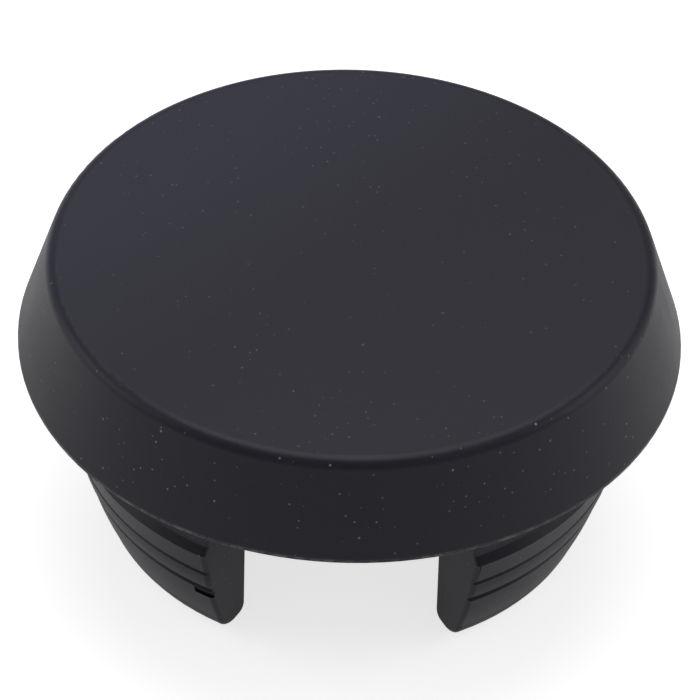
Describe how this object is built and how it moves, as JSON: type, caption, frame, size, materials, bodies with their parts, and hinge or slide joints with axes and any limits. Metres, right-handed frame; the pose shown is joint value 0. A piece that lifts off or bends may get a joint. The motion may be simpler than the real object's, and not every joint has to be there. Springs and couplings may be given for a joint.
{
  "type": "hole plug",
  "caption": "Round snap-in plug with a low flared head and thick curved snap legs that closes a round hole in a panel.",
  "frame": {"origin": "centre of the hole in the plane of the seat under the head", "axes": "+Z out of the panel along the plug's axis, with one gap between the legs facing -Y"},
  "size_m": [0.03, 0.03, 0.0143],
  "materials": {
    "moulding": "black soft plastic, fine matt mould texture, a few specks of pale dust"
  },
  "bodies": {
    "root": {"hole_plug": "moulding"}
  },
  "joints": []
}
